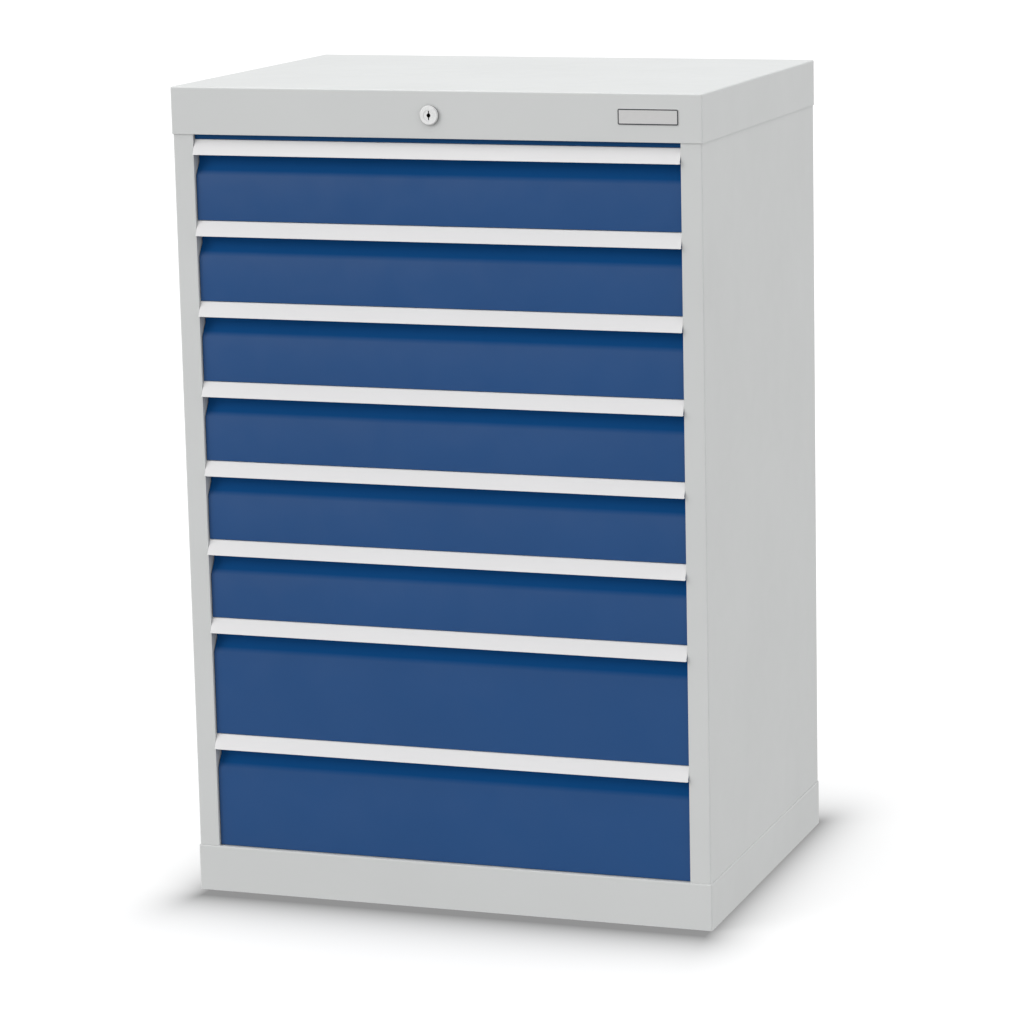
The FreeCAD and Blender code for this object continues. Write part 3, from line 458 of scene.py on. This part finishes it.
screw_zinc = plated_metal("zinc plated screws", linear(190, 192, 194), 0.28, 0.4, 700.0)
nut = softened("fasteners", "lock_nut", [screw_zinc],
               keep=lambda point: abs(point.x) < NUT_ZONE)
left_screws = [point.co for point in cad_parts["fasteners"].data.vertices
               if point.co.x < -NUT_ZONE]
lowest = min(point.z for point in left_screws)
highest = max(point.z for point in left_screws)
first_screw = Vector((min(point.x for point in left_screws) + HEAD_RADIUS,
                      max(point.y for point in left_screws) - HEAD_HEIGHT,
                      lowest + HEAD_RADIUS))
step = (highest - lowest - 2 * HEAD_RADIUS) / (SCREW_COUNT - 1)
carrier = into_scene("screw_carrier", bpy.data.meshes.new("screw_carrier"))
rows_modifier = carrier.modifiers.new("rows of screws", "NODES")
rows_modifier.node_group = screw_rows
set_inputs(rows_modifier, Screw=screw, Count=SCREW_COUNT, Row_Start=first_screw,
           Row_Step=(0, 0, step), Row_Spacing=(-2 * first_screw.x, 0, 0),
           Turn=(-pi / 2, 0, 0), Finish=screw_zinc)
screw_set = plain_mesh(carrier, "panel_screw_set")
bpy.data.objects.remove(screw)
nut_mesh = plain_mesh(nut, "lock_nut_ready")
fixings_work = bmesh.new()
fixings_work.from_mesh(screw_set)
fixings_work.from_mesh(nut_mesh)
fixings = into_scene("screws_and_lock_nut",
                     filled_mesh(fixings_work, "screws_and_lock_nut", screw_zinc))
stand_for(fixings, "carcass", "screw_steel", "fasteners")


# ---------------------------------------------------------------------------
# Central lock
# Turned brass with satin nickel plate: a round rosette with a chamfered rim,
# and the plug that turns in it, with an upright keyway. A rod runs from the
# plug to the crank that lifts and lowers the locking bar at the back.
# ---------------------------------------------------------------------------
ROSETTE_ROUNDING, PLUG_ROUNDING = 0.2 * MM, 0.1 * MM
RIM_SLOPE, CHAMFER_SLOPE = 0.2, 0.95
KEYWAY_SHARE = 0.9
KEYWAY_MOUTH = 0.1 * MM
KEYWAY_REAR = 1 * MM
nickel = plated_metal("satin nickel", linear(236, 236, 235), 0.36, 0.46, 900.0, 0.02)
nickel.node_tree.nodes["Principled BSDF"].inputs["Metallic"].default_value = 0.25
# Painted shade: the chamfer is greyer and duller than the face, so it shows no highlight.
chamfer_painted_shade = plated_metal("nickel with painted shade on the chamfer", linear(208, 208, 207), 0.5, 0.6, 900.0, 0.02)
chamfer_painted_shade.node_tree.nodes["Principled BSDF"].inputs["Metallic"].default_value = 0.1
# Painted shade: the rosette's side wall is near black, as if in shadow.
rim_painted_shade = plated_metal("nickel with painted shade round the rim", linear(84, 84, 84), 0.5, 0.6, 900.0, 0.02)
# Painted shade: the inside of the keyway is near black.
keyway_painted_shade = powder_coat("painted shade inside the keyway", linear(22, 22, 23), 0.7, 0.1)


def finish_where(piece, index, wanted):
    """Gives a piece's faces that pass a test one of its other finishes."""
    for face in piece.data.polygons:
        if wanted(face.center, face.normal):
            face.material_index = index


def on_the_rim(centre, normal):
    return abs(normal.y) < RIM_SLOPE and centre.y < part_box("top_cover")[0].y


def on_the_chamfer(centre, normal):
    sloping = RIM_SLOPE < abs(normal.y) < CHAMFER_SLOPE
    return sloping and centre.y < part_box("top_cover")[0].y


rosette = softened("lock_housing", "lock_rosette", [nickel, rim_painted_shade, chamfer_painted_shade], ROSETTE_ROUNDING)
finish_where(rosette, 1, on_the_rim)
finish_where(rosette, 2, on_the_chamfer)
stand_for(rosette, "carcass", "lock_nickel", "lock_housing")
plug_low, plug_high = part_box("lock_cylinder")
plug_axis = Vector(((plug_low.x + plug_high.x) / 2, 0, (plug_low.z + plug_high.z) / 2))


def in_the_keyway(centre, normal):
    from_axis = Vector((centre.x, 0, centre.z)) - plug_axis
    inside = from_axis.length < KEYWAY_SHARE * (plug_high.z - plug_low.z) / 2
    return inside and plug_low.y + KEYWAY_MOUTH < centre.y < plug_high.y - KEYWAY_REAR


plug = softened("lock_cylinder", "lock_plug", [nickel, keyway_painted_shade, nickel], PLUG_ROUNDING)
finish_where(plug, 1, in_the_keyway)
stand_for(plug, "lock", "lock_nickel", "lock_cylinder")
coat_node("lock_shaft", zinc)
coat_node("locking_bar", zinc)


# ---------------------------------------------------------------------------
# Name plate
# A thin bare plate of satin aluminium with rounded corners and a fine dark
# line round its field, stuck to the right of the header. It carries nothing.
# ---------------------------------------------------------------------------
PLATE_CORNER = 2 * MM
PLATE_LINE = 1.4 * MM
PLATE_RIM = 0.15 * MM
PLATE_CHAMFER = 0.12 * MM
LINE_LOOP = 3
plate_low, plate_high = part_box("name_plate")


def rounded_outline(low, high, inset, radius, steps=5):
    """Points round a rectangle in X and Z, turned from its lower left corner."""
    points = []
    left, right = low.x + inset + radius, high.x - inset - radius
    bottom, top = low.z + inset + radius, high.z - inset - radius
    for middle_x, middle_z, start in ((left, bottom, 180), (right, bottom, 270),
                                      (right, top, 0), (left, top, 90)):
        for k in range(steps + 1):
            turn = radians(start + 90 * k / steps)
            points.append((middle_x + radius * cos(turn), middle_z + radius * sin(turn)))
    return points


brushed, tree, shader, place = new_finish("brushed plate")
stretched = add_node(tree, "ShaderNodeMapping", Vector=place, Scale=(0.05, 1.0, 1.0))
hairs = add_node(tree, "ShaderNodeTexNoise", Vector=stretched.outputs["Vector"], Scale=3000.0,
                 Detail=2.0)
tree.links.new(toned(tree, linear(208, 207, 206), spread(tree, hairs.outputs["Fac"], 0.93, 1.0)),
               shader.inputs["Base Color"])
tree.links.new(spread(tree, hairs.outputs["Fac"], 0.42, 0.56), shader.inputs["Roughness"])
shader.inputs["Metallic"].default_value = 0.35
plate_dark = powder_coat("dark line", linear(64, 66, 69), 0.5, 0.2)
plate = bmesh.new()
loops = []
for inset, depth in ((0, 0.0), (0, 0.75), (PLATE_CHAMFER, 1.0), (PLATE_RIM, 1.0),
                     (PLATE_RIM + PLATE_LINE, 1.0)):
    y = plate_high.y + (plate_low.y - plate_high.y) * depth
    radius = max(PLATE_CORNER - inset, 0.5 * MM)
    loops.append([plate.verts.new((x, y, z)) for x, z in
                  rounded_outline(plate_low, plate_high, inset, radius)])
for index, (outer, inner) in enumerate(zip(loops, loops[1:])):
    for k in range(len(outer)):
        face = plate.faces.new((outer[k], outer[(k + 1) % len(outer)],
                                inner[(k + 1) % len(inner)], inner[k]))
        face.material_index = 1 if index == LINE_LOOP else 0
plate.faces.new(loops[-1])
plate.faces.new(reversed(loops[0]))
bmesh.ops.recalc_face_normals(plate, faces=plate.faces)
bare_plate = into_scene("bare_name_plate",
                        filled_mesh(plate, "bare_name_plate", brushed, plate_dark))
stand_for(bare_plate, "carcass", "plate_metal", "name_plate")


# ---------------------------------------------------------------------------
# Drawer boxes
# Folded from 1 mm sheet and coated light grey. Rows of upright slots down
# both side walls and the back take divider plates; the walls' top edges are
# turned in as a hem.
# ---------------------------------------------------------------------------
SHEET = 1 * MM
SLOT_PITCH = 17 * MM
SLOT_WIDTH = 2.2 * MM
SLOT_MARGIN = 14 * MM
HEM = 5 * MM
SEAM = 0.02 * MM

slotted_wall = bpy.data.node_groups.new("slotted wall", "GeometryNodeTree")
add_group_inputs(slotted_wall, "NodeSocketFloat", "Length", "Height", "Pitch", "Slot Width",
                 "Slot Height", "Thickness")
add_group_inputs(slotted_wall, "NodeSocketMaterial", "Finish")
given = slotted_wall.nodes.new("NodeGroupInput").outputs
cells = number_step(slotted_wall, "ROUND",
                    number_step(slotted_wall, "DIVIDE", given["Length"], given["Pitch"]))
pitch = number_step(slotted_wall, "DIVIDE", given["Length"], cells)
cell_start = number_step(slotted_wall, "MULTIPLY",
                         number_step(slotted_wall, "SUBTRACT", pitch, given["Length"]), 0.5)
cell = add_node(slotted_wall, "GeometryNodeCurvePrimitiveQuadrilateral", Width=pitch,
                Height=given["Height"])
slot_curve = add_node(slotted_wall, "GeometryNodeCurvePrimitiveQuadrilateral",
                      Width=given["Slot Width"], Height=given["Slot Height"])
rounded = add_node(slotted_wall, "GeometryNodeFilletCurve", {"mode": "POLY"},
                   Curve=slot_curve.outputs["Curve"], Count=3,
                   Radius=number_step(slotted_wall, "MULTIPLY", given["Slot Width"], 0.49))
filled = add_node(slotted_wall, "GeometryNodeFillCurve", {"mode": "TRIANGLES"},
                  Curve=joined(slotted_wall, cell.outputs["Curve"], rounded.outputs["Curve"]))
line_start = add_node(slotted_wall, "ShaderNodeCombineXYZ", X=cell_start)
line_step = add_node(slotted_wall, "ShaderNodeCombineXYZ", X=pitch)
places = add_node(slotted_wall, "GeometryNodeMeshLine", Count=cells,
                  Start_Location=line_start.outputs["Vector"],
                  Offset=line_step.outputs["Vector"])
copies = add_node(slotted_wall, "GeometryNodeInstanceOnPoints", Points=places.outputs["Mesh"],
                  Instance=filled.outputs["Mesh"])
flat = add_node(slotted_wall, "GeometryNodeRealizeInstances",
                Geometry=copies.outputs["Instances"])
welded = add_node(slotted_wall, "GeometryNodeMergeByDistance",
                  Geometry=flat.outputs["Geometry"], Distance=SEAM)
raised = add_node(slotted_wall, "GeometryNodeExtrudeMesh", Mesh=welded.outputs["Geometry"],
                  Offset_Scale=given["Thickness"], Individual=False)
under = add_node(slotted_wall, "GeometryNodeFlipFaces", Mesh=welded.outputs["Geometry"])
closed = add_node(slotted_wall, "GeometryNodeMergeByDistance", Distance=SEAM,
                  Geometry=joined(slotted_wall, raised.outputs["Mesh"], under.outputs["Mesh"]))
end_group(slotted_wall, closed.outputs["Geometry"], given["Finish"])


def make_wall(length, height, finish):
    """One slotted wall, lying flat and centred, as a plain mesh."""
    holder = into_scene("wall_holder", bpy.data.meshes.new("wall_holder"))
    modifier = holder.modifiers.new("slotted wall", "NODES")
    modifier.node_group = slotted_wall
    set_inputs(modifier, Length=length, Height=height, Pitch=SLOT_PITCH, Slot_Width=SLOT_WIDTH,
               Slot_Height=height - 2 * SLOT_MARGIN, Thickness=SHEET, Finish=finish)
    return plain_mesh(holder, "slotted_wall_mesh")


box_coat = powder_coat("light grey drawer coat", linear(198, 200, 199), 0.5)
UPRIGHT_ALONG_Y = Matrix(((0, 0, 1, 0), (1, 0, 0, 0), (0, 1, 0, 0), (0, 0, 0, 1)))
UPRIGHT_ALONG_X = Matrix(((1, 0, 0, 0), (0, 0, -1, 0), (0, 1, 0, 0), (0, 0, 0, 1)))
DRAWERS = range(1, 9)
for drawer in DRAWERS:
    low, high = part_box(f"drawer_{drawer}_box")
    depth, height, width = high.y - low.y, high.z - low.z, high.x - low.x
    middle_y, middle_z = (low.y + high.y) / 2, (low.z + high.z) / 2
    tray = bmesh.new()
    slab(tray, low, (high.x, high.y, low.z + SHEET))
    slab(tray, (low.x, low.y, low.z + SHEET), (high.x, low.y + SHEET, high.z))
    for inner, outer in ((low.x + SHEET, low.x + SHEET + HEM),
                         (high.x - SHEET - HEM, high.x - SHEET)):
        slab(tray, (inner, low.y + SHEET, high.z - SHEET), (outer, high.y - SHEET, high.z))
    side_wall = make_wall(depth - 2 * SHEET, height - SHEET, box_coat)
    back_wall = make_wall(width, height - SHEET, box_coat)
    wall_z = middle_z + SHEET / 2
    for wall, turn, spot in (
            (side_wall, UPRIGHT_ALONG_Y, (low.x, middle_y, wall_z)),
            (side_wall, UPRIGHT_ALONG_Y, (high.x - SHEET, middle_y, wall_z)),
            (back_wall, UPRIGHT_ALONG_X, (0, high.y, wall_z))):
        placed = wall.copy()
        placed.transform(Matrix.Translation(spot) @ turn)
        tray.from_mesh(placed)
        bpy.data.meshes.remove(placed)
    bmesh.ops.recalc_face_normals(tray, faces=tray.faces)
    tray_piece = into_scene(f"drawer_{drawer}_tray",
                            filled_mesh(tray, f"drawer_{drawer}_tray", box_coat))
    stand_for(tray_piece, f"drawer_{drawer}", "box_paint", f"drawer_{drawer}_box")


# ---------------------------------------------------------------------------
# Drawer fronts
# Each is one folded sheet: the finger recess behind the handle, the flat
# face and a fold below, and on the top drawer a narrow band above the handle.
# Gentian blue powder coat, satin, with a painted highlight a shade lighter on folds.
# ---------------------------------------------------------------------------
FACE_GLOSS, RECESS_GLOSS, GLOSS_DEPTH = 0.46, 0.03, 4.5 * MM
# Painted light: the recess is made paler to offset the shadow under the handle.
FACE_TONE, RECESS_PAINTED_LIGHT, TONE_DEPTH = 1.0, 1.42, 15.5 * MM
RECESS_CHANGE_STARTS = 0.5 * MM


def recess_gloss_and_painted_light(finish):
    """Behind the face the recess is less glossy and paler; the paleness is painted light against
    the handle's shadow.
    """
    tree = finish.node_tree
    shader = tree.nodes["Principled BSDF"]
    place = tree.nodes["Texture Coordinate"].outputs["Object"]
    depth = add_node(tree, "ShaderNodeSeparateXYZ", Vector=place).outputs["Y"]
    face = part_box(f"drawer_{DRAWERS[0]}_front")[0].y
    gloss, tone = (spread(tree, depth, on_face, in_recess, face + RECESS_CHANGE_STARTS, face + reach)
                   for on_face, in_recess, reach in ((FACE_GLOSS, RECESS_GLOSS, GLOSS_DEPTH),
                                                     (FACE_TONE, RECESS_PAINTED_LIGHT, TONE_DEPTH)))
    tree.links.new(gloss, shader.inputs["Specular IOR Level"])
    tint(finish, tone)
    return finish


front_coat = recess_gloss_and_painted_light(powder_coat("blue powder coat", linear(12, 68, 122), 0.34,
                                           mottle=0.05, grain=800.0))
# Painted highlight: the fronts' rounded folds and edges take a lighter blue.
front_edge_highlight = recess_gloss_and_painted_light(powder_coat("blue powder coat with painted highlight on folds", linear(24, 78, 131),
                                           0.33, mottle=0.05, grain=800.0))
# Painted shade: the top drawer's band under the header is darker and less glossy.
band_painted_shade = powder_coat("blue powder coat with painted shade on the band", linear(14, 64, 110), 0.5, 0.08,
                        mottle=0.05, grain=800.0)


def on_the_band(centre, normal):
    return centre.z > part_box(f"drawer_{DRAWERS[0]}_handle")[1].z


for drawer in DRAWERS:
    front = softened(f"drawer_{drawer}_front", f"drawer_{drawer}_front_sheet",
                     [front_coat, band_painted_shade, front_edge_highlight])
    finish_where(front, 1, on_the_band)
    stand_for(front, f"drawer_{drawer}", "front_paint", f"drawer_{drawer}_front")


# ---------------------------------------------------------------------------
# Handles
# One extruded aluminium strip across each front, leaning outwards, with a
# rounded lip to pull by. Coated pale grey, smoother than the cabinet.
# ---------------------------------------------------------------------------
handle_coat = powder_coat("pale grey handle coat", linear(213, 212, 212), 0.36, 0.35, 0.02,
                          1100.0, 0.03)
# Painted highlight: the handle's rounded edges take a lighter grey.
handle_edge_highlight = powder_coat("pale grey handle coat with painted highlight on edges", linear(220, 220, 220), 0.3, 0.4,
                          0.02, 1100.0, 0.03)
for drawer in DRAWERS:
    stand_for(softened(f"drawer_{drawer}_handle", f"drawer_{drawer}_grip",
                       [handle_coat, handle_edge_highlight], SOFT_ROUNDING),
              f"drawer_{drawer}", "handle_coat", f"drawer_{drawer}_handle")


# ---------------------------------------------------------------------------
# Drawer rails and rollers
# Three rails on each side pull out to the full depth: one on the cabinet, a
# middle one, and one on the drawer, in zinc-plated strip. White acetal
# rollers on the middle rails run between the other two.
# ---------------------------------------------------------------------------
acetal, tree, shader, place = new_finish("white acetal")
marks = add_node(tree, "ShaderNodeTexNoise", Vector=place, Scale=300.0, Detail=3.0)
turning = add_node(tree, "ShaderNodeTexNoise", Vector=place, Scale=1500.0, Detail=1.0)
tree.links.new(toned(tree, linear(232, 230, 222), spread(tree, marks.outputs["Fac"], 0.94, 1.0)),
               shader.inputs["Base Color"])
tree.links.new(spread(tree, marks.outputs["Fac"], 0.32, 0.44), shader.inputs["Roughness"])
bump = add_node(tree, "ShaderNodeBump", Height=turning.outputs["Fac"], Strength=0.04,
                Distance=DRAWN_RELIEF)
tree.links.new(bump.outputs["Normal"], shader.inputs["Normal"])
for drawer in DRAWERS:
    coat_node(f"drawer_{drawer}_rails", zinc)
    coat_node(f"middle_{drawer}_rails", zinc)
    coat_node(f"middle_{drawer}_rollers", acetal)


# ---------------------------------------------------------------------------
# Floor, studio light and world
# A wide white floor under broad lamps on the left, on the right, overhead and
# behind, in an even white world. Painted shadow lies where the cabinet stands,
# most of all in front, and it sends its light up evenly, partly by its own glow.
# ---------------------------------------------------------------------------
FLOOR_REACH = 60.0
FLOOR_WHITE = 0.3
FLOOR_GLOW = 0.7
BOUNCE_WHITE = 0.4
BOUNCE_GLOW = 0.4
SHADE_LEAST = 0.28
SHADE_HALVING = 45 * MM
SHADE_FORWARD = 22 * MM
SHADE_ASIDE = 5 * MM
SHADE_INSET = 8 * MM
SIDEWAYS_FADE = 1.8
SKY_TINT = (0.97, 0.985, 1.0, 1.0)
SKY_LEVEL = 0.61


def vector_step(tree, operation, first, second=None):
    """One step of vector arithmetic on sockets or plain triples."""
    made = add_node(tree, "ShaderNodeVectorMath", {"operation": operation})
    feed(tree, made.inputs[0], first)
    feed(tree, made.inputs[1], second)
    return made.outputs["Value" if operation == "LENGTH" else "Vector"]


floor_mesh = bpy.data.meshes.new("studio_floor")
floor_mesh.from_pydata([(-FLOOR_REACH, -FLOOR_REACH, 0), (FLOOR_REACH, -FLOOR_REACH, 0),
                        (FLOOR_REACH, FLOOR_REACH, 0), (-FLOOR_REACH, FLOOR_REACH, 0)],
                       [], [(0, 1, 2, 3)])
floor = into_scene("studio_floor", floor_mesh)
floor_white, tree, shader, place = new_finish("studio white")
foot_low, foot_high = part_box("base_plinth")
# Painted shadow round the cabinet's footprint, seen only by the camera.
shade_middle = (SHADE_ASIDE, (foot_low.y - SHADE_FORWARD + foot_high.y) / 2, 0)
shade_half = (foot_high.x - SHADE_INSET, (foot_high.y - foot_low.y + SHADE_FORWARD) / 2, 0)
from_middle = vector_step(tree, "ABSOLUTE", vector_step(tree, "SUBTRACT", place, shade_middle))
outside = vector_step(tree, "MAXIMUM", vector_step(tree, "SUBTRACT", from_middle, shade_half),
                      (0, 0, 0))
distance = vector_step(tree, "LENGTH",
                       vector_step(tree, "MULTIPLY", outside, (SIDEWAYS_FADE, 1, 0)))
fading = number_step(tree, "POWER", 0.5, number_step(tree, "DIVIDE", distance, SHADE_HALVING))
shade = number_step(tree, "SUBTRACT", 1.0,
                    number_step(tree, "MULTIPLY", fading, 1.0 - SHADE_LEAST))
seen = tree.nodes.new("ShaderNodeLightPath").outputs["Is Camera Ray"]
tree.links.new(toned(tree, (FLOOR_WHITE,) * 3,
                     spread(tree, seen, BOUNCE_WHITE, shade, 0.0, 1.0)),
               shader.inputs["Base Color"])
shader.inputs["Roughness"].default_value = 0.9
shader.inputs["Specular IOR Level"].default_value = 0.0
glow_seen = number_step(tree, "MULTIPLY", shade, FLOOR_GLOW)
glow = add_node(tree, "ShaderNodeEmission",
                Strength=spread(tree, seen, BOUNCE_GLOW, glow_seen, 0.0, 1.0))
lifted = tree.nodes.new("ShaderNodeAddShader")
tree.links.new(shader.outputs[0], lifted.inputs[0])
tree.links.new(glow.outputs[0], lifted.inputs[1])
tree.links.new(lifted.outputs[0], tree.nodes["Material Output"].inputs["Surface"])
floor_mesh.materials.append(floor_white)

studio = bpy.data.worlds.new("studio")
bpy.context.scene.world = studio
studio.use_nodes = True
sky = studio.node_tree
lamp_sky = sky.nodes["Background"]
lamp_sky.inputs["Color"].default_value = SKY_TINT
lamp_sky.inputs["Strength"].default_value = SKY_LEVEL
white_sky = add_node(sky, "ShaderNodeBackground", Strength=1.0)
white_sky.inputs["Color"].default_value = (1.0, 1.0, 1.0, 1.0)
seen = sky.nodes.new("ShaderNodeLightPath")
chosen = sky.nodes.new("ShaderNodeMixShader")
sky.links.new(seen.outputs["Is Camera Ray"], chosen.inputs[0])
sky.links.new(lamp_sky.outputs[0], chosen.inputs[1])
sky.links.new(white_sky.outputs[0], chosen.inputs[2])
sky.links.new(chosen.outputs[0], sky.nodes["World Output"].inputs["Surface"])


def add_lamp(name, towards, level, softness):
    """A distant soft lamp; level 1 lights a facing surface as bright as its colour."""
    lamp = bpy.data.lights.new(name, "SUN")
    lamp.energy = level * pi
    lamp.angle = radians(softness)
    holder = into_scene(name, lamp)
    holder.rotation_euler = Vector(towards).to_track_quat("Z", "Y").to_euler()


add_lamp("key lamp", (-0.75, -0.55, 0.37), 0.50, 40)
add_lamp("side lamp", (0.97, -0.10, 0.20), 0.33, 60)
add_lamp("top lamp", (-0.05, 0.0, 1.0), 0.56, 70)
add_lamp("back lamp", (0.70, 0.70, 0.10), 0.12, 60)


# ---------------------------------------------------------------------------
# Camera
# A long lens in front and to the right, above the cabinet's top and looking
# slightly down on it.
# ---------------------------------------------------------------------------
PICTURE = 1024
FOCAL_PIXELS = 3809.33777
CENTRE_X, CENTRE_Y = 660.0, 475.0
CAMERA_PLACE = (1.649922, -4.500104, 1.418357)
CAMERA_RIGHT = (0.9527439, 0.3034294, -0.0144787)
CAMERA_DOWN = (0.0434601, -0.1833234, -0.9820915)
CAMERA_AHEAD = (-0.3006498, 0.9350525, -0.1878474)
lens = bpy.data.cameras.new("camera")
lens.sensor_width = 36.0
lens.lens = FOCAL_PIXELS * lens.sensor_width / PICTURE
lens.shift_x = (PICTURE / 2 - CENTRE_X) / PICTURE
lens.shift_y = (CENTRE_Y - PICTURE / 2) / PICTURE
lens.clip_start = 0.1
lens.clip_end = 200.0
camera = into_scene("camera", lens)
turn = Matrix((CAMERA_RIGHT, [-part for part in CAMERA_DOWN],
               [-part for part in CAMERA_AHEAD])).transposed()
camera.matrix_world = Matrix.Translation(CAMERA_PLACE) @ turn.to_4x4()
bpy.context.scene.camera = camera
bpy.context.scene.view_settings.view_transform = "Standard"
